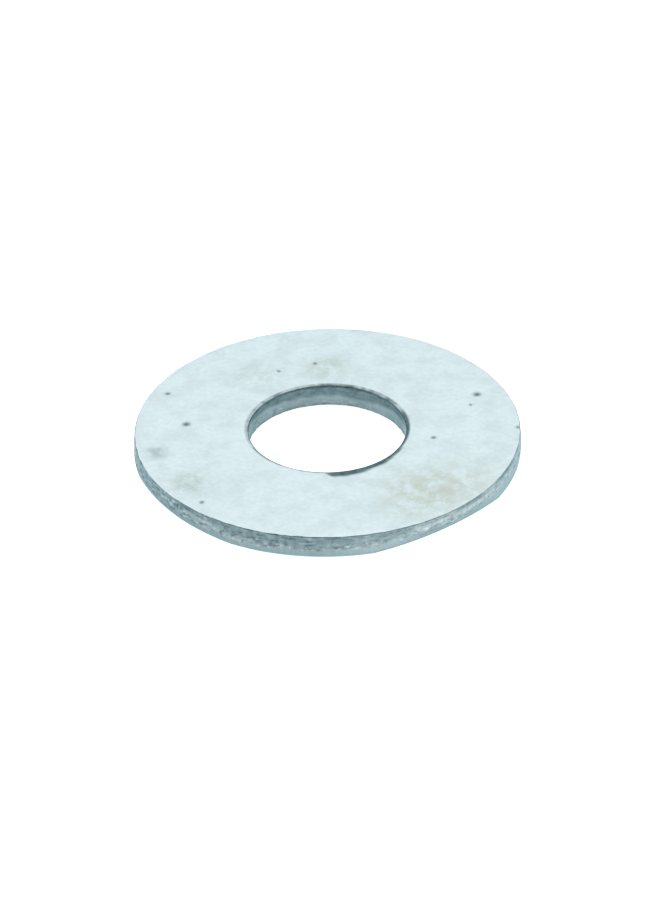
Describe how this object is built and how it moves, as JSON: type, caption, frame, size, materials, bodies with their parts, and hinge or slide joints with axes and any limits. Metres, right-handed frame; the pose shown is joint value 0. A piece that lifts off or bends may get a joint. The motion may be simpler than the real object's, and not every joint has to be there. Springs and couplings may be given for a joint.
{
  "type": "flat washer",
  "caption": "Flat round washer: a thin plated-steel ring with a plain central hole, rolled and sheared edges left by stamping, and two flat bearing faces.",
  "frame": {"origin": "centre of the hole on the bottom face, the face beside the rim's rolled edge", "axes": "+Z along the hole's axis, from the bottom face to the top face; the ring is round, so X and Y are any two directions across it"},
  "size_m": [0.0254, 0.0254, 0.0016],
  "materials": {
    "zinc_plated_steel": "bright zinc plating with a pale blue clear passivate, tumbled satin"
  },
  "bodies": {
    "root": {"flat_washer": "zinc_plated_steel"}
  },
  "joints": []
}
